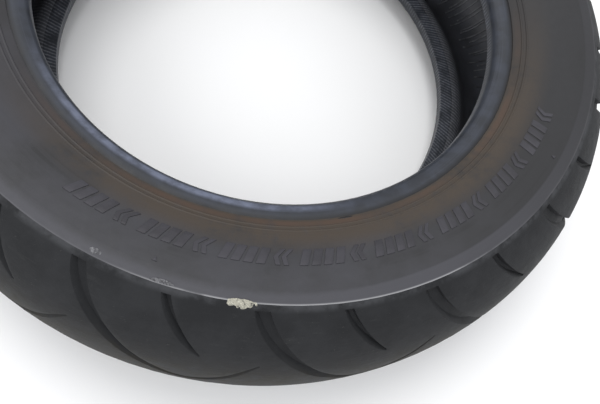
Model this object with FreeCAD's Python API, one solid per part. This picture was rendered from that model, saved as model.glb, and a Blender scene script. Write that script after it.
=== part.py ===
# A touring motorcycle's rear tire, 180 mm wide on a 16 inch rim, lying on its side.
# The tire's axis is +Z and the origin is its centre, on the mid plane. A section is drawn in
# the XZ plane as (radius, height) and turned about Z. Each layer is a solid of its own, and
# neighbours share their faces, because the cured tire is bonded with no gaps.
import FreeCAD
import Part

import math
import os

tiny = 1e-6                  # lengths shorter than this are nothing

# ---- outside ---------------------------------------------------------------------------
rimRadius = 202.8            # bead seat of a 16 inch rim, 405.6 mm across
overallRadius = 329.5
halfWidth = 92.0             # mid plane to the shoulder edge
shoulderDrop = 45.0          # radius lost from the middle of the tread to its edge
crownArc = 180.0             # radius of the worn middle of the tread
crownHalf = 30.0             # half width of that middle
shoulderBand = 10.0          # flat ring beside the shoulder edge, which the tire lies on
sidewallBulge = 3.4
flangeFace = 65.5            # mid plane to where the heel's curve meets the rim flange
flangeHeight = 15.5          # rim seat to the crease above the flange
creaseRise = 4.2             # from the flange face out to that crease
lipStep = 0.8                # the sidewall stands proud of the rim cushion at the crease
heelRadius = 7.0
heelTurn = 55.0
toeRadius = 0.7
ribCount = 2                 # fitting ribs above the crease
ribHeight = 0.5
ribHalf = 0.9
ribFirst = 6.6               # from the crease to the first rib
ribSpacing = 3.6

# ---- layers ----------------------------------------------------------------------------
capThickness = 6.5           # worn tread rubber
baseThickness = 1.5          # cushion rubber under it
beltThickness = 1.0
plyThickness = 0.9
linerThickness = 1.5
flipperThickness = 0.6
chaferThickness = 0.7
shoulderLead = 14.0          # degrees before the tread's edge where the carcass bends away
wallRubber = 5.8             # outside the carcass, where it comes closest to the outer wall
wallStraight = 12.8          # straight stretch of the carcass between the shoulder and the bead
beadBendLift = 2.0           # from the top of the core to the carcass's last bend
beltOverhang = 3.0           # inner belt past the start of the shoulder bend
beltStep = 6.0               # outer belt short of the inner belt
stripLength = 12.0           # rubber strip past the inner belt
fillerLength = 40.0          # along the carcass, core to the filler's tip
outerTurnupGap = 16.0        # each ply's turned-up end short of the filler's tip
innerTurnupGap = 22.0
flipperLength = 8.0          # above the core, on both sides of it
chaferLength = 12.0

# ---- bead core ---------------------------------------------------------------------------
wireDiameter = 1.0
wirePitch = 1.35
wireTurns = 4                # side by side, and one on another
insulation = 0.3             # rubber outside the outermost wires
wrapThickness = 0.3          # tape round the bundle
coreCorner = 1.6             # radius of the carcass at the core's corners
seatRubber = 1.2             # rim seat to the chafer
flangeRubber = 1.3           # rim flange to the chafer

# ---- tread pattern -------------------------------------------------------------------------
pitches = 15                 # repeats round the tire
firstGroove = -107.6         # degrees round from +X to a long groove on the upper side
grooveDepth = 4.6
steepDraft = 8.0             # lean of a groove's steep wall, degrees
wornDraft = 36.0             # lean of its other wall, which the road has worn back
grooveOver = 3.0             # how far a cutter stands out of the tread
wearBars = 5                 # long grooves on each side with a wear bar
wearBarHeight = 1.2
wearBarLength = 8.0
# degrees round from the groove's start, share of the half width, width in mm, share of the depth
longGroove = [
    (1.1, 0.972, 10.6, 0.8),
    (2.1, 0.885, 10.8, 1.0),
    (3.6, 0.785, 10.4, 1.0),
    (6.3, 0.620, 9.4, 1.0),
    (9.8, 0.420, 8.2, 1.0),
    (13.4, 0.235, 7.4, 1.0),
    (17.0, 0.125, 7.0, 1.0),
    (20.3, 0.220, 6.0, 1.0),
    (23.3, 0.405, 4.4, 0.9),
    (26.0, 0.575, 1.5, 0.3),
]
shortGroove = [
    (0.7, 0.972, 6.6, 0.8),
    (1.5, 0.905, 6.8, 1.0),
    (2.9, 0.815, 6.2, 1.0),
    (4.5, 0.720, 5.0, 0.95),
    (6.5, 0.618, 1.6, 0.3),
]
wearBarStation = 4           # the groove's station, counted from 0, that the bar crosses


def vec(radius, height):
    return FreeCAD.Vector(radius, 0.0, height)


def heading(angle):
    # direction along a section: 0 runs up the axis, 90 in towards it, 270 out from it
    a = math.radians(angle)
    return vec(-math.sin(a), math.cos(a))


def inward(angle):
    # to the left of that direction, which is the air side of the tire's wall
    return heading(angle + 90.0)


# ---- routes: smooth lines of arcs and straights, and the lines parallel to them -----------
class Route:
    def __init__(self, start, angle, steps):
        self.start = start
        self.angle = angle
        self.steps = steps          # (length, 0, None) for a straight, (length, turn, radius) for an arc

    def length(self, count=None):
        return sum(step[0] for step in self.steps[:count])

    def chain(self, offset=0.0):
        at = self.start + inward(self.angle) * offset
        angle = self.angle
        made = []
        for length, turn, radius in self.steps:
            if radius is None:
                step = (at, at + heading(angle) * length)
            else:
                side = math.copysign(1.0, turn)
                reach = radius - side * offset
                centre = at + inward(angle) * (side * reach)
                step = (at, onCircle(centre, at, turn / 2), onCircle(centre, at, turn))
            made.append(step)
            at = step[-1]
            angle += turn
        return made

    def part(self, begin, end):
        # the stretch between two distances along the route
        done = 0.0
        angle = self.angle
        kept = []
        start = None
        for step, points in zip(self.steps, self.chain()):
            length, turn, radius = step
            low = max(begin - done, 0.0)
            high = min(end - done, length)
            if high - low > tiny:
                if start is None:
                    start = partWay(points, step, angle, low / length)
                    startAngle = angle + turn * low / length
                kept.append((high - low, turn * (high - low) / length, radius))
            done += length
            angle += turn
        return Route(start, startAngle, kept)

    def end(self, offset=0.0):
        return self.chain(offset)[-1][-1]


def onCircle(centre, point, turn):
    a = math.radians(turn)
    d = point - centre
    return centre + vec(d.x * math.cos(a) - d.z * math.sin(a), d.x * math.sin(a) + d.z * math.cos(a))


def partWay(points, step, angle, share):
    length, turn, radius = step
    if radius is None:
        return points[0] + heading(angle) * (length * share)
    centre = points[0] + inward(angle) * math.copysign(radius, turn)
    return onCircle(centre, points[0], turn * share)


def straight(length):
    return (length, 0.0, None)


def bend(radius, turn):
    return (radius * math.radians(abs(turn)), turn, radius)


def bendTo(start, angle, end):
    # the one arc that leaves start in a direction and passes through end
    chord = end - start
    across = chord.dot(inward(angle))
    turn = 2 * math.degrees(math.atan2(across, chord.dot(heading(angle))))
    return bend(chord.dot(chord) / (2 * abs(across)), turn)


# ---- faces and solids ------------------------------------------------------------------------
def edge(step):
    if len(step) == 2:
        return Part.LineSegment(*step).toShape()
    return Part.Arc(*step).toShape()


def backwards(chain):
    return [tuple(reversed(step)) for step in reversed(chain)]


def face(chain):
    # closed with a straight line wherever two steps don't meet
    edges = []
    for step, after in zip(chain, chain[1:] + chain[:1]):
        edges.append(edge(step))
        if step[-1].distanceToPoint(after[0]) > tiny:
            edges.append(edge((step[-1], after[0])))
    return Part.Face(Part.Wire(edges))


def flipped(shape):
    return shape.mirror(FreeCAD.Vector(0, 0, 0), FreeCAD.Vector(0, 0, 1))


def mirrored(chain):
    return [tuple(vec(point.x, -point.z) for point in step) for step in chain]


def layer(route, near, far):
    return face(route.chain(near) + backwards(route.chain(far)))


def fullLayer(route, near, far):
    # a layer that starts on the mid plane, with its mirror image below
    one = route.chain(near)
    other = route.chain(far)
    return face(mirrored(backwards(one)) + one + backwards(other) + mirrored(other))


def less(section, *others):
    # a section without its neighbours: the largest piece that is left
    left = section
    for other in others:
        left = left.cut(other)
    return max(left.Faces, key=lambda piece: piece.Area)


def ring(section):
    return section.revolve(FreeCAD.Vector(0, 0, 0), FreeCAD.Vector(0, 0, 1), 360)


# ---- the tread's outer line ---------------------------------------------------------------------
edgeRadius = overallRadius - shoulderDrop
edgePoint = vec(edgeRadius, halfWidth)
crownTurn = math.degrees(math.asin(crownHalf / crownArc))
crownStep = bend(crownArc, crownTurn)
crownEnd = Route(vec(overallRadius, 0.0), 0.0, [crownStep]).end()
shoulderStep = bendTo(crownEnd, crownTurn, edgePoint)
treadRoute = Route(vec(overallRadius, 0.0), 0.0, [crownStep, shoulderStep])
edgeTurn = crownTurn + shoulderStep[1]

# ---- the outer wall: an arc from the flat shoulder band to the crease ---------------------------
bandEnd = vec(edgeRadius - shoulderBand, halfWidth)
crease = vec(rimRadius + flangeHeight, flangeFace + creaseRise)


def wallCircle():
    chord = crease - bandEnd
    radius = (chord.Length ** 2 / 4 + sidewallBulge ** 2) / (2 * sidewallBulge)
    middle = (crease + bandEnd) * 0.5
    out = vec(chord.z, -chord.x).normalize()
    return middle + out * (sidewallBulge - radius), radius


wallCentre, wallRadius = wallCircle()


# ---- the bead core and the carcass that wraps it ----------------------------------------------
bundleHalf = (wireTurns - 1) * wirePitch / 2 + wireDiameter / 2 + insulation
coreHalf = bundleHalf + wrapThickness
holdHalf = coreHalf + flipperThickness           # what the carcass wraps
wallThickness = 2 * plyThickness + chaferThickness
core = vec(
    rimRadius + seatRubber + wallThickness + holdHalf,
    flangeFace - flangeRubber - wallThickness - holdHalf,
)
beltDepth = capThickness + baseThickness
plyDepth = beltDepth + 2 * beltThickness
leaveTurn = edgeTurn - shoulderLead


def wallStepsFrom(start):
    # the arc over the shoulder, a straight, and the arc that ends beside the core
    lead = inward(leaveTurn)
    reach = wallRadius - wallRubber
    away = start - wallCentre
    radius = (reach ** 2 - away.dot(away)) / (2 * (away.dot(lead) + reach))
    chord = start + lead * radius - (core + vec(holdHalf + beadBendLift, -holdHalf))
    beadBend = (chord.dot(chord) - radius ** 2 - wallStraight ** 2) / (2 * (chord.z + radius))
    centres = chord - vec(0.0, beadBend)
    lean = math.acos(-(radius + beadBend) / centres.Length)
    slope = math.degrees(math.atan2(centres.z, centres.x) + lean)
    return [bend(radius, slope - leaveTurn), straight(wallStraight), bend(beadBend, 90.0 - slope)]


treadSteps = [
    bend(crownArc - plyDepth, crownTurn),
    bend(shoulderStep[2] - plyDepth, leaveTurn - crownTurn),
]
plyStart = vec(overallRadius - plyDepth, 0.0)
wallSteps = wallStepsFrom(Route(plyStart, 0.0, treadSteps).end())
coreSteps = [
    straight(beadBendLift + 2 * holdHalf - coreCorner),
    bend(coreCorner, -90.0),
    straight(2 * (holdHalf - coreCorner)),
    bend(coreCorner, -90.0),
    straight(2 * holdHalf - coreCorner),
]
downRoute = Route(plyStart, 0.0, treadSteps + wallSteps)
leavePoint = sum(step[0] for step in treadSteps)         # distances along the carcass
besideCore = downRoute.length()
aboveCore = besideCore + sum(step[0] for step in coreSteps)
beltEnd = leavePoint + beltOverhang
upToTip = besideCore + beadBendLift - fillerLength
fillerTip = downRoute.part(0, upToTip).end()
coreTop = core + vec(holdHalf, holdHalf)
turnupStep = bendTo(coreTop, -90.0, fillerTip)
plyRoute = Route(plyStart, 0.0, treadSteps + wallSteps + coreSteps + [turnupStep])
linerFace = 2 * plyThickness + linerThickness


# ---- the outer line of the wall, shoulder to toe --------------------------------------------------
def onWall(radius):
    return vec(radius, wallCentre.z + math.sqrt(wallRadius ** 2 - (radius - wallCentre.x) ** 2))


def wallArc(outer, inner):
    return (onWall(outer), onWall((outer + inner) / 2), onWall(inner))


def sidewallChain():
    chain = [(edgePoint, bandEnd)]
    at = bandEnd.x
    for k in reversed(range(ribCount)):
        rib = crease.x + ribFirst + ribSpacing * k
        top = onWall(rib)
        top += (top - wallCentre).normalize() * ribHeight
        chain.append(wallArc(at, rib + ribHalf))
        chain.append((onWall(rib + ribHalf), top, onWall(rib - ribHalf)))
        at = rib - ribHalf
    chain.append(wallArc(at, crease.x))
    return chain


def beadChain():
    # from the crease over the curve against the flange, the heel and the seat to the toe
    lip = crease - vec(0.0, lipStep)
    heelLow = vec(rimRadius, flangeFace - heelRadius * math.sin(math.radians(heelTurn)))
    heelRoute = Route(heelLow, 0.0, [bend(heelRadius, -heelTurn)])
    flangeStep = bendTo(heelRoute.end(), -heelTurn, lip)
    outside = Route(heelLow, 0.0, heelRoute.steps + [flangeStep])
    linerEnd = plyRoute.part(0, besideCore).end(linerFace)
    toe = vec(rimRadius, linerEnd.z)
    toeCentre = toe + vec(toeRadius, toeRadius)
    toeIn = toeCentre - vec(toeRadius, 0.0)
    toeUp = toeCentre - vec(0.0, toeRadius)
    return [
        *backwards(outside.chain()),
        (heelLow, toeIn),
        (toeIn, onCircle(toeCentre, toeIn, 45.0), toeUp),
        (toeUp, linerEnd),
    ]


# ---- sections of the upper half --------------------------------------------------------------------
def square(half, corner):
    # a rounded square round the core's centre
    sides = []
    point = core + vec(half, corner - half)
    for turn in range(4):
        a = 90.0 * turn
        low = onCircle(core, point, a)
        high = onCircle(core, core + vec(half, half - corner), a)
        centre = onCircle(core, core + vec(half - corner, half - corner), a)
        sides.append((low, high))
        sides.append((high, onCircle(centre, high, 45.0), onCircle(centre, high, 90.0)))
    return face(sides)


def wireDiscs():
    steps = [(k - (wireTurns - 1) / 2) * wirePitch for k in range(wireTurns)]
    centres = [core + vec(a, b) for a in steps for b in steps]
    axis = FreeCAD.Vector(0, 1, 0)
    return [Part.Face(Part.Wire(Part.makeCircle(wireDiameter / 2, c, axis))) for c in centres]


def crownSections():
    turnupEnd = plyRoute.length()
    outerPly = plyRoute.part(0, turnupEnd - outerTurnupGap)
    innerPly = plyRoute.part(0, turnupEnd - innerTurnupGap)
    outerBelt = plyRoute.part(0, beltEnd - beltStep)
    return {
        "carcass_ply_outer": fullLayer(outerPly, 0, plyThickness),
        "carcass_ply_inner": fullLayer(innerPly, plyThickness, 2 * plyThickness),
        "inner_liner": fullLayer(plyRoute.part(0, besideCore), 2 * plyThickness, linerFace),
        "belt_ply_inner": fullLayer(plyRoute.part(0, beltEnd), -beltThickness, 0),
        "belt_ply_outer": fullLayer(outerBelt, -2 * beltThickness, -beltThickness),
        "tread_base": fullLayer(treadRoute, capThickness, beltDepth),
        "tread_cap": fullLayer(treadRoute, 0, capThickness),
    }


def coreSections():
    # the wires, the rubber that fills between them and the tape round the bundle
    wires = wireDiscs()
    bundle = square(bundleHalf, coreCorner - flipperThickness - wrapThickness)
    return {
        "bead_wires": Part.makeCompound(wires),
        "bead_insulation": less(bundle, *wires),
        "bead_wrap": less(wholeCore(), bundle),
    }


def wholeCore():
    return square(coreHalf, coreCorner - flipperThickness)


def fillerArea():
    # everything between the core's top, the carcass and its turned-up ends
    inside = plyRoute.part(upToTip, besideCore + beadBendLift).chain()
    outside = Route(coreTop, -90.0, [turnupStep]).chain()
    overCore = (vec(core.x, inside[-1][-1].z), vec(core.x, coreTop.z))
    return face(outside + inside + [overCore])


def wrapSections():
    # the fabric strips inside and outside the carcass where it wraps the core
    belowFlipper = besideCore + beadBendLift - flipperLength
    flipper = plyRoute.part(belowFlipper, aboveCore + flipperLength)
    chafer = plyRoute.part(besideCore, aboveCore + chaferLength)
    return {
        "bead_flipper": layer(flipper, -flipperThickness, 0),
        "bead_chafer": layer(chafer, 2 * plyThickness, wallThickness),
    }


def sideSections(crown):
    made = {**coreSections(), **wrapSections()}
    plies = [crown["carcass_ply_outer"], crown["carcass_ply_inner"]]
    overCarcass = [crown[name] for name in ("belt_ply_inner", "belt_ply_outer", "tread_base")]
    stripRoute = plyRoute.part(beltEnd - beltStep, beltEnd + stripLength)
    strip = less(layer(stripRoute, -2 * beltThickness, 0), *overCarcass)
    held = [made["bead_flipper"], wholeCore(), *plies]
    filler = fillerArea()
    inside = plyRoute.part(leavePoint - beltStep, besideCore).chain()
    wall = face(sidewallChain() + backwards(inside))
    outline = beadChain()
    cushion = face(outline + [(outline[-1][-1], inside[-1][-1])])
    chafer = made["bead_chafer"]
    return {
        **made,
        "belt_edge_strip": strip,
        "bead_filler": less(filler, *held),
        "sidewall": less(wall, crown["tread_cap"], *overCarcass, strip, filler, *plies, chafer),
        "rim_cushion": less(cushion, *held, chafer, filler, wall),
    }


# ---- grooves -------------------------------------------------------------------------------------------
def treadPoint(share, degrees):
    # a point on the tread's surface and the outward direction there
    height = share * halfWidth
    shoulderCentre = crownEnd + inward(crownTurn) * shoulderStep[2]
    centre = vec(overallRadius - crownArc, 0.0)
    radius = crownArc
    if abs(height) > crownHalf:
        centre = vec(shoulderCentre.x, math.copysign(shoulderCentre.z, height))
        radius = shoulderStep[2]
    rise = height - centre.z
    flat = math.sqrt(radius ** 2 - rise ** 2)
    out = vec(flat, rise) * (1.0 / radius)
    spin = FreeCAD.Rotation(FreeCAD.Vector(0, 0, 1), degrees)
    return spin.multVec(vec(centre.x + flat, height)), spin.multVec(out)


def across(stations, k):
    # sideways direction at a station; the end on the shoulder stays square to the tire's edge
    here, out = treadPoint(*stations[k][:2])
    if k == 0:
        along = FreeCAD.Vector(0, 0, 1).cross(here).normalize()
        return (along - out * along.dot(out)).normalize()
    before = treadPoint(*stations[k - 1][:2])[0]
    after = treadPoint(*stations[min(k + 1, len(stations) - 1)][:2])[0]
    side = (after - before).cross(out).normalize()
    return side * math.copysign(1.0, side.dot(across(stations, k - 1)))


def cutter(stations):
    # four rails through the corners of the groove's section, and the faces between them
    rails = [[], [], [], []]
    steep = math.tan(math.radians(steepDraft))
    worn = math.tan(math.radians(wornDraft))
    for k, (share, degrees, width, depth) in enumerate(stations):
        here, out = treadPoint(share, degrees)
        side = across(stations, k)
        high = here + out * grooveOver
        low = here - out * depth
        half = width / 2
        rails[0].append(high - side * (half + grooveOver * worn))
        rails[1].append(high + side * (half + grooveOver * steep))
        rails[2].append(low + side * (half - depth * steep))
        rails[3].append(low - side * (half - depth * worn))
    curves = [railEdge(rail) for rail in rails]
    faces = [Part.makeRuledSurface(curves[i], curves[(i + 1) % 4]) for i in range(4)]
    for k in (0, -1):
        faces.append(Part.Face(Part.makePolygon([rail[k] for rail in rails] + [rails[0][k]])))
    shell = Part.makeShell(faces)
    shell.sewShape()
    solid = Part.Solid(shell)
    return solid if solid.Volume > 0 else solid.reversed()


def railEdge(points):
    curve = Part.BSplineCurve()
    curve.interpolate(points)
    return curve.toShape()


def withWearBar(groove, stations):
    # the groove's cutter, shallower across the bar
    share, degrees, width, depth = stations[wearBarStation]
    here, out = treadPoint(share, degrees)
    side = across(stations, wearBarStation) * width
    half = side.cross(out).normalize() * (wearBarLength / 2)
    top = here - out * (depth - wearBarHeight)
    corners = [top - side - half, top + side - half, top + side + half, top - side + half]
    block = Part.Face(Part.makePolygon(corners + corners[:1])).extrude(out * -depth)
    return groove.cut(block)


def stationsFrom(pattern, start, side):
    return [
        (side * share, start + angle, width, grooveDepth * depth)
        for angle, share, width, depth in pattern
    ]


def grooveCutters():
    made = []
    pitch = 360.0 / pitches
    for side in (1, -1):
        lag = 0.0 if side > 0 else pitch / 2
        for k in range(pitches):
            start = firstGroove + pitch * k + lag
            stations = stationsFrom(longGroove, start, side)
            groove = cutter(stations)
            barred = k % (pitches // wearBars) == 0
            made.append(withWearBar(groove, stations) if barred else groove)
            made.append(cutter(stationsFrom(shortGroove, start + pitch / 2, side)))
    return made


# ---- build -----------------------------------------------------------------------------------------------
def build():
    crown = crownSections()
    nodes = {name: ring(section) for name, section in crown.items()}
    nodes["tread_cap"] = nodes["tread_cap"].cut(grooveCutters()).Solids[0]
    for name, section in sideSections(crown).items():
        upper = ring(section)
        nodes[name + "_top"] = upper
        nodes[name + "_bottom"] = flipped(upper)
    return nodes


os.makedirs("parts", exist_ok=True)
for name, shape in build().items():
    print(name, shape.ShapeType, len(shape.Solids), shape.isValid(), round(shape.Volume / 1000, 1))
    shape.exportStep("parts/" + name + ".step")
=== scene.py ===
import math

import bpy
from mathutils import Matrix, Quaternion, Vector


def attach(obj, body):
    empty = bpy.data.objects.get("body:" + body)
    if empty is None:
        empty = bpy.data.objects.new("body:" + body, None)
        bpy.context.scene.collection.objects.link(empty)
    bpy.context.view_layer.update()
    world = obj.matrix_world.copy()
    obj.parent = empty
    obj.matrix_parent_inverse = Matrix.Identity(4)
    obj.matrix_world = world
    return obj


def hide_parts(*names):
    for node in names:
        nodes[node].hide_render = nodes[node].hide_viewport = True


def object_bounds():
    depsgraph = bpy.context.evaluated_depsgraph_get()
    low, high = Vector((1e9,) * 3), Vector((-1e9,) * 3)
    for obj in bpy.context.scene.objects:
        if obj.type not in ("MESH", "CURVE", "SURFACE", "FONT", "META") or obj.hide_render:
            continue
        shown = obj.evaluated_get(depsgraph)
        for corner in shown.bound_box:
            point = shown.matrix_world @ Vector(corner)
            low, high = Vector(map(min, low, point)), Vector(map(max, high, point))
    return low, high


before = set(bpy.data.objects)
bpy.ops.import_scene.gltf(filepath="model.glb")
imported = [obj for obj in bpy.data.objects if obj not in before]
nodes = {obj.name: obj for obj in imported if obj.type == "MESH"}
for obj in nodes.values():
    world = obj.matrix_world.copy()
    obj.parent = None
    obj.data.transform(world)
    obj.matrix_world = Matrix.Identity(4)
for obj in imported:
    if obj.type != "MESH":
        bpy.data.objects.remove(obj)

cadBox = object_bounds()
mm = 0.001
print("frame loaded:", len(nodes), "nodes")


# colours are sRGB hex values, turned to linear here
def colour(code):
    parts = [int(code[k:k + 2], 16) / 255 for k in (1, 3, 5)]
    return [p / 12.92 if p <= 0.04045 else ((p + 0.055) / 1.055) ** 2.4 for p in parts] + [1.0]


# what the choice in addNode sets on each kind of node that has one
choices = {
    "Math": "operation", "VectorMath": "operation", "Mix": "data_type", "MapRange": "interpolation_type",
}


# one node; its inputs come in order, or by number or name, and each is a value or a (node, output)
# link, which is also what comes back
def addNode(tree, kind, choice=None, inputs=(), output=0):
    node = tree.nodes.new("ShaderNode" + kind)
    if choice:
        setattr(node, choices[kind], choice)
    for name, value in inputs.items() if isinstance(inputs, dict) else enumerate(inputs):
        if isinstance(value, tuple) and isinstance(value[0], bpy.types.Node):
            tree.links.new(value[0].outputs[value[1]], node.inputs[name])
        else:
            node.inputs[name].default_value = value
    return node, output


def addUp(tree, *terms):
    total = terms[0]
    for term in terms[1:]:
        total = addNode(tree, "Math", "ADD", (total, term))
    return total


def times(tree, *terms):
    total = terms[0]
    for term in terms[1:]:
        total = addNode(tree, "Math", "MULTIPLY", (total, term))
    return total


# 0 to 1 as a value goes from start to end, eased at both ends
def ramp(tree, value, start, end):
    return addNode(tree, "MapRange", "SMOOTHSTEP", (value, start, end))


# 1 where a value is between the middle two of four limits, easing to 0 at the outer two
def between(tree, value, a, b, c, d):
    return times(tree, ramp(tree, value, a, b), ramp(tree, value, d, c))


# a mask that goes from low to high instead of from 0 to 1
def spread(tree, mask, low, high):
    return addNode(tree, "Math", "MULTIPLY_ADD", (mask, high - low, low))


# lays a colour over a shade, as strongly as the masks say together
def tint(tree, shade, code, *masks):
    return addNode(tree, "Mix", "RGBA", {0: times(tree, *masks), 6: shade, 7: colour(code)}, 2)


# where a point is on the tire, in mm: all the coordinates that the patterns below are drawn in
def tirePlace(tree):
    metres = addNode(tree, "TexCoord", output="Object")
    place = addNode(tree, "VectorMath", "SCALE", {0: metres, "Scale": 1 / mm})
    xyz = addNode(tree, "SeparateXYZ", None, (place,))[0]
    flat = addNode(tree, "VectorMath", "MULTIPLY", (place, (1.0, 1.0, 0.0)))
    return {
        "place": place,
        "height": (xyz, 2),
        "side": addNode(tree, "Math", "ABSOLUTE", ((xyz, 2),)),
        "around": addNode(tree, "VectorMath", "NORMALIZE", (flat,)),      # unit vector, so no seam shows
        "radius": addNode(tree, "VectorMath", "LENGTH", (flat,), 1),
        "angle": addNode(tree, "Math", "ARCTAN2", ((xyz, 1), (xyz, 0))),
    }


# grain: noise of one size in every direction, in mm
def grain(tree, at, size, detail=3.0, roughness=0.5):
    settings = {"Vector": at["place"], "Scale": 1 / size, "Detail": detail, "Roughness": roughness}
    return addNode(tree, "TexNoise", None, settings)


trueRadius = 300.0       # where lengths round the tire are true, in mm


# streaks that run round the tire, with a length and a width in mm
def streaks(tree, at, across, length, width, detail=2.0):
    turns = addNode(tree, "VectorMath", "SCALE", {0: at["around"], "Scale": trueRadius / length})
    xyz = addNode(tree, "SeparateXYZ", None, (turns,))[0]
    spot = addNode(tree, "CombineXYZ", None, ((xyz, 0), (xyz, 1), times(tree, at[across], 1 / width)))
    return addNode(tree, "TexNoise", None, {"Vector": spot, "Scale": 1.0, "Detail": detail})


# 1 on the part of the tire round a direction, easing to 0 from one number of degrees to another
def sector(tree, at, direction, inner, outer):
    a, near, far = (math.radians(degrees) for degrees in (direction, inner, outer))
    toward = (math.cos(a), math.sin(a), 0.0)
    facing = addNode(tree, "VectorMath", "DOT_PRODUCT", (at["around"], toward), 1)
    return ramp(tree, facing, math.cos(far), math.cos(near))


# links a look's shade, its roughness, which follows the gloss noise, and its bumps, whose depth is in mm
def finishMaterial(tree, look, shade, gloss, bumps):
    surface = tree.nodes["Principled BSDF"]
    rough = addNode(tree, "MapRange", "LINEAR", (gloss, 0.3, 0.7, *look["rough"]))
    depth, strength = look["bump"]
    normal = addNode(tree, "Bump", None, {"Height": bumps, "Distance": depth * mm, "Strength": strength})
    for name, (node, output) in {"Base Color": shade, "Roughness": rough, "Normal": normal}.items():
        tree.links.new(node.outputs[output], surface.inputs[name])
    surface.inputs["Specular IOR Level"].default_value = look.get("specular", 0.5)
    surface.inputs["Metallic"].default_value = look.get("metallic", 0.0)


def newMaterial(name):
    material = bpy.data.materials.new(name)
    material.use_nodes = True
    return material, material.node_tree


# how deep a point lies under the tread's outer line: two arcs, the crown's and the shoulder's
treadLine = {"crownCentre": (149.5, 0.0), "crownRadius": 180.0, "crownHalf": 30.0,
             "sideCentre": (238.75, 15.1), "sideRadius": 89.51}


def treadDepth(tree, at):
    def under(centre, radius):
        away = [addNode(tree, "Math", "SUBTRACT", (at[k], c)) for k, c in zip(("radius", "side"), centre)]
        squares = addUp(tree, *[times(tree, a, a) for a in away])
        return addNode(tree, "Math", "SUBTRACT", (radius, addNode(tree, "Math", "SQRT", (squares,))))
    crown = under(treadLine["crownCentre"], treadLine["crownRadius"])
    side = under(treadLine["sideCentre"], treadLine["sideRadius"])
    onSide = addNode(tree, "Math", "GREATER_THAN", (at["side"], treadLine["crownHalf"]))
    return addNode(tree, "Mix", "FLOAT", {0: onSide, 2: crown, 3: side})


# tread compound, moulded and then worn by the road: matte and scuffed, dusty at the crown, where the tint
# also paints a sheen, with a greyer floor in the grooves; sizes in mm, and a pair of limits is where a patch
# starts and is full
treadLook = {
    "rubber": "#1e1f21", "lighter": "#28292b", "crown": "#2f2d28", "scuff": "#4a4b4a", "groove": "#232426",
    "stone": "#85857e", "rim": "#46474a", "cloud": 34.0, "patch": 9.0, "grain": 1.0,
    "scuffs": (22.0, 1.5), "scuffed": 0.15, "stony": 0.5, "crownDustAndSheen": (66.0, 20.0),
    "grooveDepth": (0.8, 3.0), "rimBand": (88.5, 91.2), "rimWorn": 0.6,
    "rough": (0.58, 0.8), "bump": (0.5, 0.6), "specular": 0.2,
}


def wornTreadRubber():
    look = treadLook
    material, tree = newMaterial("worn_tread_rubber")
    at = tirePlace(tree)
    cloud = grain(tree, at, look["cloud"], 5.0, 0.62)
    patch = grain(tree, at, look["patch"], 4.0, 0.6)
    fine = grain(tree, at, look["grain"], 3.0, 0.65)
    scuffs = streaks(tree, at, "height", *look["scuffs"], 3.0)
    blotch = addUp(tree, cloud, patch)
    shade = tint(tree, colour(look["rubber"]), look["lighter"], ramp(tree, cloud, 0.35, 0.7))
    # road dust toward the crown; its lighter yellowish tint is also a painted sheen there
    toCrown = ramp(tree, at["side"], *look["crownDustAndSheen"])
    shade = tint(tree, shade, look["crown"], toCrown, ramp(tree, blotch, 0.7, 1.25))
    worn = ramp(tree, scuffs, 0.55, 0.75)
    shade = tint(tree, shade, look["scuff"], worn, ramp(tree, patch, 0.45, 0.65), look["scuffed"])
    speck = ramp(tree, fine, 0.66, 0.74)
    shade = tint(tree, shade, look["stone"], speck, ramp(tree, patch, 0.5, 0.62), look["stony"])
    shade = tint(tree, shade, look["groove"], ramp(tree, treadDepth(tree, at), *look["grooveDepth"]))
    edge = ramp(tree, at["side"], *look["rimBand"])
    shade = tint(tree, shade, look["rim"], edge, ramp(tree, blotch, 0.75, 1.15), look["rimWorn"])
    bumps = addUp(tree, times(tree, fine, 0.5), times(tree, scuffs, 0.3), patch)
    finishMaterial(tree, look, shade, times(tree, blotch, 0.5), bumps)
    return material


# moulded sidewall rubber: smooth satin with a bloom, road dust above the rim, a paler ring by the shoulder
# that is partly worn and partly a painted highlight, a painted highlight line on the shoulder edge, and
# painted shade on one side;
# a facing is a direction in degrees, and how far to each side of it the patch is full and is gone
sidewallLook = {
    "rubber": "#313133", "bloom": "#3b3b3f", "dust": "#423a32", "rust": "#553f33", "ring": "#47474c",
    "line": "#98989a", "scratch": "#66666a", "stainAndShade": "#262627", "cloud": 55.0, "patch": 7.0, "grain": 0.9,
    "rings": (420.0, 3.2), "stained": 0.5, "dark": 0.8, "shadedFacing": (5.0, 20.0, 70.0),
    "dustRing": (251.0, 232.0), "dustFacing": (-63.0, 32.0, 82.0), "rusty": 0.4,
    "rustRing": (219.0, 220.5, 222.0, 226.0), "wornFacing": (-118.0, 20.0, 60.0), "ragged": 7.0,
    "bandRing": (274.1, 275.9), "bandSoft": 4.5, "bandHighlightFacing": (-112.0, 50.0, 105.0),
    "edgeRing": (283.0, 284.2), "edgeHighlight": 0.75, "edgeHighlightFacing": (-73.0, 15.0, 32.0), "nicked": 0.4,
    "rough": (0.42, 0.6), "bump": (0.4, 0.5), "specular": 0.26,
}


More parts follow.
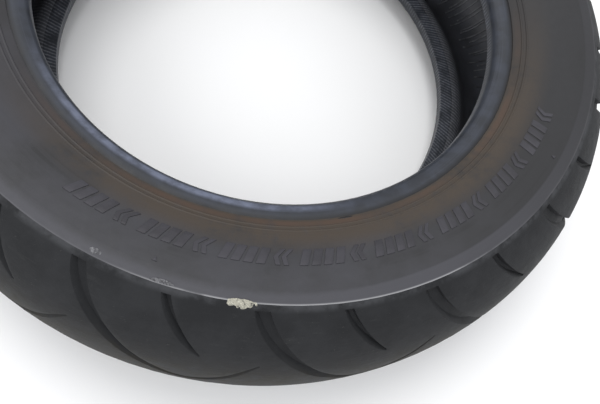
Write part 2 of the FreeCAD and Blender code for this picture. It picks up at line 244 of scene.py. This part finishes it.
def mouldedSidewallRubber():
    look = sidewallLook
    material, tree = newMaterial("moulded_sidewall_rubber")
    at = tirePlace(tree)
    cloud = grain(tree, at, look["cloud"], 5.0, 0.58)
    patch = grain(tree, at, look["patch"], 4.0, 0.6)
    fine = grain(tree, at, look["grain"], 3.0, 0.6)
    rings = streaks(tree, at, "radius", *look["rings"], 2.0)
    blotch = addUp(tree, cloud, patch)
    shade = tint(tree, colour(look["rubber"]), look["bloom"], ramp(tree, cloud, 0.3, 0.7))
    stainAndShade = ramp(tree, cloud, 0.5, 0.36)
    shade = tint(tree, shade, look["stainAndShade"], stainAndShade, ramp(tree, rings, 0.5, 0.66), look["stained"])
    # painted shade: the stain colour laid over the side of the tire turned away from the light
    shade = tint(tree, shade, look["stainAndShade"], sector(tree, at, *look["shadedFacing"]), look["dark"])

    # brown dust that the rim threw up, thickest beside the crease on one side of the tire
    facing = sector(tree, at, *look["dustFacing"])
    nearRim = ramp(tree, at["radius"], *look["dustRing"])
    patchy = ramp(tree, blotch, 0.4, 1.1)
    shade = tint(tree, shade, look["dust"], nearRim, spread(tree, facing, 0.08, 0.93), patchy)
    rustRing = between(tree, at["radius"], *look["rustRing"])
    shade = tint(tree, shade, look["rust"], rustRing, facing, ramp(tree, cloud, 0.3, 0.6), look["rusty"])

    # the flat band by the shoulder, rubbed pale and ragged on one side of the tire, and lightened more on
    # that side as a painted highlight
    wornSide = sector(tree, at, *look["wornFacing"])
    ragged = times(tree, addUp(tree, patch, -0.55), wornSide, look["ragged"])
    bandStart, bandEnd = look["bandRing"]
    soften = spread(tree, wornSide, bandEnd, bandEnd + look["bandSoft"])
    onBand = ramp(tree, addUp(tree, at["radius"], ragged), bandStart, soften)
    bandHighlightFacing = spread(tree, sector(tree, at, *look["bandHighlightFacing"]), 0.15, 0.7)
    shade = tint(tree, shade, look["ring"], onBand, bandHighlightFacing)
    # a pale line along the shoulder edge: a painted highlight, strongest round one facing
    onEdge = ramp(tree, at["radius"], *look["edgeRing"])
    edgeHighlightFacing = spread(tree, sector(tree, at, *look["edgeHighlightFacing"]), 0.1, 1.0)
    shade = tint(tree, shade, look["line"], onEdge, edgeHighlightFacing, ramp(tree, cloud, 0.3, 0.5), look["edgeHighlight"])

    nicks = ramp(tree, fine, 0.68, 0.76)
    shade = tint(tree, shade, look["scratch"], nicks, ramp(tree, patch, 0.55, 0.68), look["nicked"])
    bumps = addUp(tree, times(tree, fine, 0.25), times(tree, rings, 0.5), times(tree, patch, 0.6))
    finishMaterial(tree, look, shade, times(tree, blotch, 0.5), bumps)
    return material


# fine slanted weave, which the curing bladder pressed beside the beads; slant is in radians per mm
weaveLook = {"pale": "#888a90", "rows": 360.0, "slant": 0.7, "fuzz": 2.2}


def slantedWeave(tree, at, fuzz):
    turns = times(tree, at["angle"], weaveLook["rows"])
    rows = addNode(tree, "Math", "SINE", (addUp(tree, times(tree, at["radius"], weaveLook["slant"]), turns),))
    return ramp(tree, addUp(tree, rows, times(tree, fuzz, 3.2)), 1.2, 3.0)


# bead rubber: bluish grey with fine rings, a painted sheen along the middle of the ring on one side, painted
# shade darkening the crease, and the bladder's weave on its inner side
beadLook = {
    "rubber": "#23262c", "lighter": "#2e323b", "ring": "#3c404a", "creaseShade": "#141416", "paintedSheen": "#6a7082",
    "cloud": 16.0, "rings": (150.0, 0.9), "ringed": 0.45, "sheenRing": (204.6, 207.0, 209.0, 212.5),
    "sheenFacing": (-104.0, 15.0, 44.0), "outside": (58.0, 63.0), "inside": (60.0, 56.0), "woven": 0.42,
    "creaseShadeRing": (213.5, 217.8), "creaseShading": 0.9,
    "rough": (0.4, 0.55), "bump": (0.2, 0.45), "specular": 0.36,
}


def paintedSheenBeadRubber():
    look = beadLook
    material, tree = newMaterial("painted_sheen_bead_rubber")
    at = tirePlace(tree)
    cloud = grain(tree, at, look["cloud"], 5.0, 0.62)
    fuzz = grain(tree, at, weaveLook["fuzz"], 3.0, 0.6)
    rings = streaks(tree, at, "radius", *look["rings"], 3.0)
    shade = tint(tree, colour(look["rubber"]), look["lighter"], ramp(tree, cloud, 0.35, 0.68))
    shade = tint(tree, shade, look["ring"], ramp(tree, rings, 0.52, 0.75), look["ringed"])
    outside = ramp(tree, at["side"], *look["outside"])
    # painted sheen: a pale bluish band along the middle of the ring, strongest on the side toward the light
    onRing = between(tree, at["radius"], *look["sheenRing"])
    patchy = spread(tree, ramp(tree, cloud, 0.35, 0.65), 0.35, 0.85)
    facing = spread(tree, sector(tree, at, *look["sheenFacing"]), 0.03, 1.0)
    shade = tint(tree, shade, look["paintedSheen"], outside, onRing, patchy, facing)
    # painted shade: darker toward the crease where the ring meets the sidewall
    shade = tint(tree, shade, look["creaseShade"], ramp(tree, at["radius"], *look["creaseShadeRing"]), look["creaseShading"])
    inside = ramp(tree, at["side"], *look["inside"])
    weave = times(tree, slantedWeave(tree, at, fuzz), inside, ramp(tree, cloud, 0.3, 0.55))
    shade = tint(tree, shade, weaveLook["pale"], weave, look["woven"])
    finishMaterial(tree, look, shade, cloud, addUp(tree, times(tree, rings, 0.4), cloud, weave))
    return material


# liner: soft butyl skin, smooth and dark where the bladder pressed it
linerLook = {"rubber": "#37383c", "lighter": "#45474d", "cloud": 30.0, "woven": 0.45,
             "weaveRing": (203.0, 206.0, 226.0, 250.0), "rough": (0.38, 0.52), "bump": (0.5, 0.6)}


def bladderRibbedLiner():
    look = linerLook
    material, tree = newMaterial("bladder_ribbed_liner")
    at = tirePlace(tree)
    cloud = grain(tree, at, look["cloud"], 4.0, 0.55)
    fuzz = grain(tree, at, weaveLook["fuzz"], 3.0, 0.6)
    weave = times(tree, slantedWeave(tree, at, fuzz), between(tree, at["radius"], *look["weaveRing"]))
    shade = tint(tree, colour(look["rubber"]), look["lighter"], ramp(tree, cloud, 0.3, 0.7))
    shade = tint(tree, shade, weaveLook["pale"], weave, look["woven"])
    bumps = addUp(tree, weave, times(tree, fuzz, 0.35), times(tree, cloud, 0.5))
    finishMaterial(tree, look, shade, cloud, bumps)
    return material


# the folds, in a rubber paler than the liner's
foldLook = {"rubber": "#3c3d40", "lighter": "#6a6c70", "cloud": 12.0, "grain": 1.4,
            "rough": (0.34, 0.5), "bump": (0.3, 0.6)}

# raised marks: the sidewall's own rubber, free of dust and a little shinier on top
markLook = {"rubber": "#323135", "lighter": "#3b3a3f", "cloud": 26.0, "grain": 0.9,
            "rough": (0.42, 0.56), "bump": (0.2, 0.5), "specular": 0.26}


def cloudedRubber(name, look):
    material, tree = newMaterial(name)
    at = tirePlace(tree)
    cloud = grain(tree, at, look["cloud"], 4.0, 0.6)
    fine = grain(tree, at, look["grain"], 3.0, 0.6)
    shade = tint(tree, colour(look["rubber"]), look["lighter"], ramp(tree, cloud, 0.35, 0.65))
    finishMaterial(tree, look, shade, cloud, addUp(tree, cloud, fine))
    return material


# chalky graze: torn rubber rubbed full of pale stone dust
chalkLook = {"torn": "#57564f", "dusty": "#a5a294", "dust": "#d8d6c8", "lumps": 2.6, "grain": 0.7,
             "rough": (0.8, 0.95), "bump": (0.6, 0.8)}


def chalkyGraze():
    look = chalkLook
    material, tree = newMaterial("chalky_grazed_rubber")
    at = tirePlace(tree)
    lumps = grain(tree, at, look["lumps"], 4.0, 0.7)
    fine = grain(tree, at, look["grain"], 3.0, 0.7)
    shade = tint(tree, colour(look["torn"]), look["dusty"], ramp(tree, lumps, 0.36, 0.52))
    shade = tint(tree, shade, look["dust"], ramp(tree, fine, 0.5, 0.7))
    finishMaterial(tree, look, shade, fine, addUp(tree, lumps, fine))
    return material


# grey graze: the same tear with less dust in it
greyLook = {"torn": "#3b3b3e", "dusty": "#7d7d80", "lumps": 2.0, "rough": (0.65, 0.9), "bump": (0.5, 0.8)}


def greyGraze():
    look = greyLook
    material, tree = newMaterial("grey_grazed_rubber")
    at = tirePlace(tree)
    lumps = grain(tree, at, look["lumps"], 4.0, 0.7)
    shade = tint(tree, colour(look["torn"]), look["dusty"], ramp(tree, lumps, 0.4, 0.66))
    finishMaterial(tree, look, shade, lumps, lumps)
    return material


# plain compounds inside the tire, told apart by shade and by the size of their grain
def hiddenRubber(name, dark, light, size, roughness):
    material, tree = newMaterial(name)
    at = tirePlace(tree)
    cloud = grain(tree, at, size * 12, 3.0, 0.6)
    fine = grain(tree, at, size, 2.0, 0.6)
    shade = tint(tree, colour(dark), light, ramp(tree, cloud, 0.3, 0.7))
    look = {"rough": (roughness - 0.08, roughness + 0.1), "bump": (0.3, 0.5)}
    finishMaterial(tree, look, shade, fine, addUp(tree, cloud, fine))
    return material


# cords laid side by side in a rubber skin, at an angle to the line round the tire
def cordedFabric(name, cord, skin, pitch, slant, roughness):
    material, tree = newMaterial(name)
    at = tirePlace(tree)
    turns = times(tree, at["angle"], float(round(math.sin(slant) * trueRadius / pitch)))
    rise = addUp(tree, times(tree, at["height"], math.cos(slant) / pitch), turns)
    ridge = addNode(tree, "Math", "SINE", (times(tree, rise, 2 * math.pi),))
    fuzz = grain(tree, at, 0.6, 2.0, 0.6)
    ridges = addUp(tree, ridge, fuzz)
    shade = tint(tree, colour(skin), cord, ramp(tree, ridges, 0.0, 1.2))
    look = {"rough": (roughness - 0.1, roughness + 0.1), "bump": (0.25, 0.7)}
    finishMaterial(tree, look, shade, fuzz, ridges)
    return material


# bronze-plated steel wire, drawn: bright with fine marks along its length
wireLook = {"bronze": "#b98a52", "tarnished": "#8a6238", "marks": (60.0, 0.12), "tarnish": 14.0,
            "rough": (0.22, 0.42), "bump": (0.05, 0.5), "metallic": 1.0}


def bronzedBeadWire():
    look = wireLook
    material, tree = newMaterial("bronzed_bead_wire")
    at = tirePlace(tree)
    drawn = streaks(tree, at, "radius", *look["marks"], 2.0)
    tarnish = grain(tree, at, look["tarnish"], 3.0, 0.6)
    shade = tint(tree, colour(look["bronze"]), look["tarnished"], ramp(tree, tarnish, 0.35, 0.7))
    finishMaterial(tree, look, shade, drawn, drawn)
    return material


treadRubber = wornTreadRubber()
sidewallRubber = mouldedSidewallRubber()
beadRubber = paintedSheenBeadRubber()
linerRubber = bladderRibbedLiner()
markRubber = cloudedRubber("rubbed_mark_rubber", markLook)
foldRubber = cloudedRubber("pressed_fold_rubber", foldLook)
grazeFinishes = {"chalk": chalkyGraze(), "grey": greyGraze(), "lip": beadRubber}
finishes = {
    "tread_cap": treadRubber,
    "tread_base": hiddenRubber("cushion_rubber", "#1c1c1e", "#27272a", 1.4, 0.6),
    "belt_ply": cordedFabric("aramid_belt_cord", "#b8923e", "#2a2622", 1.3, math.radians(68), 0.6),
    "belt_edge_strip": hiddenRubber("edge_strip_rubber", "#26241f", "#312e28", 1.0, 0.62),
    "carcass_ply": cordedFabric("rayon_carcass_cord", "#8c8172", "#24211e", 1.0, math.radians(90), 0.65),
    "inner_liner": linerRubber,
    "sidewall": sidewallRubber,
    "rim_cushion": beadRubber,
    "bead_chafer": cordedFabric("woven_nylon_chafer", "#5a554c", "#1d1b19", 0.9, math.radians(45), 0.7),
    "bead_filler": hiddenRubber("hard_filler_rubber", "#1f1f20", "#2b2b2d", 2.0, 0.45),
    "bead_flipper": cordedFabric("nylon_flipper_cord", "#9b9180", "#2b2722", 1.1, math.radians(60), 0.65),
    "bead_wrap": cordedFabric("cotton_bead_tape", "#a59a86", "#3a352d", 0.8, math.radians(20), 0.75),
    "bead_insulation": hiddenRubber("bead_insulation_rubber", "#18181a", "#222224", 0.7, 0.5),
    "bead_wires": bronzedBeadWire(),
}


def finishNodes():
    for name, node in nodes.items():
        kind = max((k for k in finishes if name.startswith(k)), key=len)
        node.data.materials.clear()
        node.data.materials.append(finishes[kind])


finishNodes()
print("materials set on", len(nodes), "nodes")


def clearSelection():
    bpy.ops.object.select_all(action="DESELECT")


# makes one piece the only one selected and active
def takeUp(piece):
    clearSelection()
    piece.select_set(True)
    bpy.context.view_layer.objects.active = piece


# goes into edit mode with only the points selected that pass a test
def pick(piece, test):
    bpy.ops.object.mode_set(mode="EDIT")
    bpy.ops.mesh.select_mode(type="VERT")
    bpy.ops.mesh.select_all(action="DESELECT")
    bpy.ops.object.mode_set(mode="OBJECT")
    for point in piece.data.vertices:
        point.select = test(point.co)
    bpy.ops.object.mode_set(mode="EDIT")


def addModifier(piece, kind, **settings):
    modifier = piece.modifiers.new(kind.lower(), kind)
    for name, value in settings.items():
        setattr(modifier, name, value)
    takeUp(piece)
    bpy.ops.object.modifier_apply(modifier=modifier.name)


def joinAll(pieces, name):
    takeUp(pieces[0])
    for piece in pieces:
        piece.select_set(True)
    bpy.ops.object.join()
    whole = bpy.context.object
    whole.name = name
    bpy.ops.object.transform_apply(location=True, rotation=True, scale=True)
    return whole


def finishPiece(piece, material, smoothAngle):
    takeUp(piece)
    bpy.ops.object.shade_smooth_by_angle(angle=math.radians(smoothAngle))
    piece.data.materials.clear()
    piece.data.materials.append(material)
    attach(piece, "root")


def copyOf(piece):
    twin = piece.copy()
    twin.data = piece.data.copy()
    bpy.context.collection.objects.link(twin)
    return twin


# the tread again, with its groove edges rounded by the road
treadEdges = {"merge": 0.002, "sharp": 36.0, "round": 1.0, "segments": 2, "smooth": 32.0}


def softenTread():
    tread = copyOf(nodes["tread_cap"])
    tread.name = "worn_tread"
    takeUp(tread)
    bpy.ops.object.mode_set(mode="EDIT")
    bpy.ops.mesh.select_all(action="SELECT")
    bpy.ops.mesh.remove_doubles(threshold=treadEdges["merge"] * mm)
    bpy.ops.object.mode_set(mode="OBJECT")
    addModifier(
        tread, "BEVEL", width=treadEdges["round"] * mm, segments=treadEdges["segments"],
        limit_method="ANGLE", angle_limit=math.radians(treadEdges["sharp"]), use_clamp_overlap=True
    )
    finishPiece(tread, treadRubber, treadEdges["smooth"])
    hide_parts("tread_cap")


# a raised band of plain slanted marks round each sidewall, cut flat and then laid on the rubber
marks = {
    "radius": 250.5, "tall": 12.5, "lean": 4.2, "above": 120.0, "proud": 0.5, "sunk": 0.5, "round": 0.22,
    "width": {"block": 6.2, "chevron": 3.4}, "chevronReach": -3.4, "start": -115.0, "end": -19.0,
    "space": 2.1, "gap": 5.0, "row": "block block block block gap chevron chevron gap", "cuts": 2,
    "segments": 2, "sharp": 50.0, "smooth": 40.0,
}


def flatShape(width, tall, lean):
    clearSelection()
    bpy.ops.mesh.primitive_plane_add(size=mm, location=(0, 0, 0))
    shape = bpy.context.object
    shape.scale = (width, tall, 1.0)
    bpy.ops.object.transform_apply(location=False, rotation=False, scale=True)
    pick(shape, lambda at: at.y > 0)
    bpy.ops.transform.translate(value=(lean * mm, 0, 0))
    return shape


def flatMark(kind):
    shape = flatShape(marks["width"][kind], marks["tall"], marks["lean"])
    bpy.ops.mesh.select_all(action="SELECT")
    if kind == "chevron":
        bpy.ops.mesh.subdivide(number_cuts=1)
        pick(shape, lambda at: abs(at.y) < marks["tall"] / 4 * mm)      # the middle row
        bpy.ops.transform.translate(value=(marks["chevronReach"] * mm, 0, 0))
        bpy.ops.mesh.select_all(action="SELECT")
    bpy.ops.mesh.subdivide(number_cuts=marks["cuts"])
    bpy.ops.object.mode_set(mode="OBJECT")
    return shape


def turnTo(shape, radius, degrees):
    a = math.radians(degrees)
    shape.location = (radius * mm * math.cos(a), radius * mm * math.sin(a), marks["above"] * mm)
    shape.rotation_euler = (0, 0, a + math.pi / 2)


# a flat piece above the tire falls on the sidewall, gets its thickness and its soft edges
def layOnSidewall(sheet, proud, sunk, rounding):
    addModifier(
        sheet, "SHRINKWRAP", target=nodes["sidewall_top"], wrap_method="PROJECT", use_project_z=True,
        use_negative_direction=True, use_positive_direction=False
    )
    addModifier(sheet, "SOLIDIFY", thickness=(proud + sunk) * mm, offset=(proud - sunk) / (proud + sunk))
    addModifier(
        sheet, "BEVEL", width=rounding * mm, segments=marks["segments"], limit_method="ANGLE",
        angle_limit=math.radians(marks["sharp"])
    )


# the same piece on the lower side, turned over so that it runs the same way round
def onOtherSide(piece, name):
    twin = copyOf(piece)
    twin.name = name
    takeUp(twin)
    twin.rotation_euler = (math.pi, 0, 0)
    bpy.ops.object.transform_apply(location=False, rotation=True, scale=False)
    return twin


def addMarks():
    patterns = {kind: flatMark(kind) for kind in marks["width"]}
    perDegree = math.radians(1) * marks["radius"]       # mm round the band in a degree
    at = marks["start"]
    laid = []
    while at < marks["end"]:
        for kind in marks["row"].split():
            if kind == "gap":
                at += marks["gap"] / perDegree
                continue
            half = marks["width"][kind] / 2
            at += (half + marks["space"]) / perDegree
            shape = copyOf(patterns[kind])
            turnTo(shape, marks["radius"], at)
            laid.append(shape)
            at += half / perDegree
    for pattern in patterns.values():
        bpy.data.objects.remove(pattern)
    upper = joinAll(laid, "raised_marks_top")
    layOnSidewall(upper, marks["proud"], marks["sunk"], marks["round"])
    lower = onOtherSide(upper, "raised_marks_bottom")
    for piece in (upper, lower):
        finishPiece(piece, markRubber, marks["smooth"])


# an arrow for the direction of rolling, and a small triangle beside each wear bar
arrow = {"angle": 96.0, "radius": 246.0, "long": 34.0, "wide": 2.6, "head": 9.0, "cuts": 7}
barSigns = {"count": 5, "first": -97.8, "radius": 270.5, "side": 4.2, "proud": 0.6}


def flatTriangle(side):
    clearSelection()
    bpy.ops.mesh.primitive_circle_add(vertices=3, radius=side * mm, fill_type="NGON")
    shape = bpy.context.object
    bpy.ops.object.mode_set(mode="EDIT")
    bpy.ops.mesh.select_all(action="SELECT")
    bpy.ops.mesh.subdivide(number_cuts=1)
    bpy.ops.object.mode_set(mode="OBJECT")
    return shape


def addSigns():
    laid = []
    for k in range(barSigns["count"]):
        sign = flatTriangle(barSigns["side"] / 2)
        turnTo(sign, barSigns["radius"], barSigns["first"] + 360 / barSigns["count"] * k)
        laid.append(sign)
    shaft = flatShape(arrow["long"], arrow["wide"], 0.0)
    bpy.ops.mesh.select_all(action="SELECT")
    bpy.ops.mesh.subdivide(number_cuts=arrow["cuts"])
    bpy.ops.object.mode_set(mode="OBJECT")
    turnTo(shaft, arrow["radius"], arrow["angle"])
    head = flatTriangle(arrow["head"] / 2)
    reach = math.degrees((arrow["long"] + arrow["head"] / 2) / 2 / arrow["radius"])
    turnTo(head, arrow["radius"], arrow["angle"] + reach)
    head.rotation_euler.z -= math.pi / 2
    upper = joinAll(laid + [shaft, head], "wear_signs_top")
    layOnSidewall(upper, barSigns["proud"], marks["sunk"], marks["round"])
    lower = onOtherSide(upper, "wear_signs_bottom")
    for piece in (upper, lower):
        finishPiece(piece, markRubber, marks["smooth"])


# grazes from a curb and a tire lever: lumpy pads half sunk in the rubber; sizes are half lengths
# round the tire, across it and out of it
grazes = [
    {"name": "chalky_graze", "angle": -85.4, "radius": 285.9, "height": 89.6, "tilt": 46.0,
     "size": (12.0, 4.8, 1.6), "lump": 1.7, "finish": "chalk"},
    {"name": "grey_graze_a", "angle": -95.8, "radius": 284.0, "height": 91.1, "tilt": 32.0,
     "size": (9.0, 3.4, 0.8), "lump": 0.9, "finish": "grey"},
    {"name": "grey_graze_b", "angle": -105.1, "radius": 281.0, "height": 91.9, "tilt": 6.0,
     "size": (4.0, 2.2, 0.5), "lump": 0.6, "finish": "grey"},
    {"name": "lever_graze", "angle": -66.5, "radius": 219.6, "height": 69.9, "tilt": -30.0,
     "size": (9.0, 1.3, 0.8), "lump": 0.5, "finish": "lip"},
]
grazeShape = {"steps": 5, "noise": 2.6, "depth": 3, "smooth": 60.0}


def addGraze(graze):
    clearSelection()
    bpy.ops.mesh.primitive_ico_sphere_add(subdivisions=grazeShape["steps"], radius=mm)
    pad = bpy.context.object
    pad.name = graze["name"]
    pad.scale = graze["size"]
    bpy.ops.object.transform_apply(location=False, rotation=False, scale=True)
    clouds = bpy.data.textures.new(graze["name"], "CLOUDS")
    clouds.noise_scale = grazeShape["noise"] * mm
    clouds.noise_depth = grazeShape["depth"]
    addModifier(pad, "DISPLACE", texture=clouds, strength=graze["lump"] * mm, mid_level=0.5)
    a = math.radians(graze["angle"])
    radius = graze["radius"] * mm
    pad.location = (radius * math.cos(a), radius * math.sin(a), graze["height"] * mm)
    pad.rotation_euler = (math.radians(-graze["tilt"]), 0, a - math.pi / 2)
    bpy.ops.object.transform_apply(location=True, rotation=True, scale=False)
    bpy.data.textures.remove(clouds)
    finishPiece(pad, grazeFinishes[graze["finish"]], grazeShape["smooth"])


# folds that the curing bladder left in the liner under each shoulder, uneven in length and place
folds = {"count": 250, "inner": 262.0, "outer": 303.0, "wide": 1.3, "proud": 1.0, "sunk": 0.4, "cuts": 10,
         "shortBy": 13.0, "lengthWave": 2.4, "drift": 0.3, "driftWave": 3.7, "smooth": 50.0}


def addFolds():
    laid = []
    for k in range(folds["count"]):
        drop = folds["shortBy"] * (0.5 + 0.5 * math.sin(k * folds["lengthWave"]))
        long = folds["outer"] - folds["inner"] - drop
        strip = flatShape(folds["wide"], long, 0.0)
        bpy.ops.object.mode_set(mode="OBJECT")
        laid.append(strip)
        turn = 360 / folds["count"] * (k + folds["drift"] * math.sin(k * folds["driftWave"]))
        turnTo(strip, folds["outer"] - long / 2, turn)
        strip.location.z = 0.0
    sheet = joinAll(laid, "liner_folds_top")
    bpy.ops.object.mode_set(mode="EDIT")
    bpy.ops.mesh.select_all(action="SELECT")
    bpy.ops.mesh.subdivide(number_cuts=folds["cuts"])
    bpy.ops.object.mode_set(mode="OBJECT")
    addModifier(
        sheet, "SHRINKWRAP", target=nodes["inner_liner"], wrap_method="PROJECT", use_project_z=True,
        use_negative_direction=False, use_positive_direction=True
    )
    thick = folds["proud"] + folds["sunk"]
    addModifier(sheet, "SOLIDIFY", thickness=thick * mm, offset=(folds["sunk"] - folds["proud"]) / thick)
    lower = onOtherSide(sheet, "liner_folds_bottom")
    for piece in (sheet, lower):
        finishPiece(piece, foldRubber, folds["smooth"])


softenTread()
print("tread edges worn round")
addMarks()
addSigns()
print("raised marks laid on both sidewalls")
for graze in grazes:
    addGraze(graze)
addFolds()
print("grazes and liner folds added")


# a floor, a big soft light above, a weaker one from the side
studio = {
    "floor": {"size": 12.0, "plaster": "#f9f9f8", "lighter": "#fafafa", "cloud": 90.0, "grain": 5.0,
              "rough": (0.8, 0.9), "bump": (0.05, 0.2)},
    "sky": {"tone": "#fbfcff", "power": 0.98},
    "key": {"place": (-0.4, 0.55, 2.3), "size": 1.5, "power": 24.0},
    "side": {"place": (-1.5, -1.0, 1.8), "size": 1.3, "power": 12.0},
}


def palePlaster():
    look = studio["floor"]
    material, tree = newMaterial("pale_studio_floor")
    at = tirePlace(tree)
    fine = grain(tree, at, look["grain"])
    shade = tint(tree, colour(look["plaster"]), look["lighter"], grain(tree, at, look["cloud"], 2.0))
    finishMaterial(tree, look, shade, fine, fine)
    return material


def addFloor():
    clearSelection()
    low = cadBox[0][2]
    bpy.ops.mesh.primitive_plane_add(size=studio["floor"]["size"], location=(0, 0, low))
    floor = bpy.context.object
    floor.name = "studio_floor"
    bpy.ops.object.transform_apply(location=True, rotation=False, scale=False)
    floor.data.materials.append(palePlaster())


def addLight(name, light):
    clearSelection()
    bpy.ops.object.light_add(type="AREA", location=light["place"])
    lamp = bpy.context.object
    lamp.name = name
    lamp.data.shape = "DISK"
    lamp.data.size = light["size"]
    lamp.data.energy = light["power"]
    lamp.rotation_mode = "QUATERNION"
    lamp.rotation_quaternion = (-Vector(light["place"])).to_track_quat("-Z", "Y")


def addSky():
    world = bpy.data.worlds.new("studio_sky")
    world.use_nodes = True
    background = world.node_tree.nodes["Background"]
    background.inputs["Color"].default_value = colour(studio["sky"]["tone"])
    background.inputs["Strength"].default_value = studio["sky"]["power"]
    bpy.context.scene.world = world


shot = {"place": (0.0, -0.3561, 0.4498), "aim": (0.0608, -0.1684, 0.0), "roll": 29.84, "lens": 33.68,
        "sensor": 36.0, "nearClip": 0.01}


def addCamera():
    clearSelection()
    bpy.ops.object.camera_add(location=shot["place"])
    camera = bpy.context.object
    camera.name = "studio_camera"
    look = (Vector(shot["aim"]) - Vector(shot["place"])).to_track_quat("-Z", "Y")
    camera.rotation_mode = "QUATERNION"
    camera.rotation_quaternion = look @ Quaternion((0, 0, 1), math.radians(shot["roll"]))
    camera.data.lens = shot["lens"]
    camera.data.sensor_width = shot["sensor"]
    camera.data.clip_start = shot["nearClip"]
    bpy.context.scene.camera = camera


addFloor()
addSky()
addLight("key_light", studio["key"])
addLight("side_light", studio["side"])
addCamera()
bpy.context.scene.view_settings.view_transform = "Standard"
print("floor, lights and camera in place")
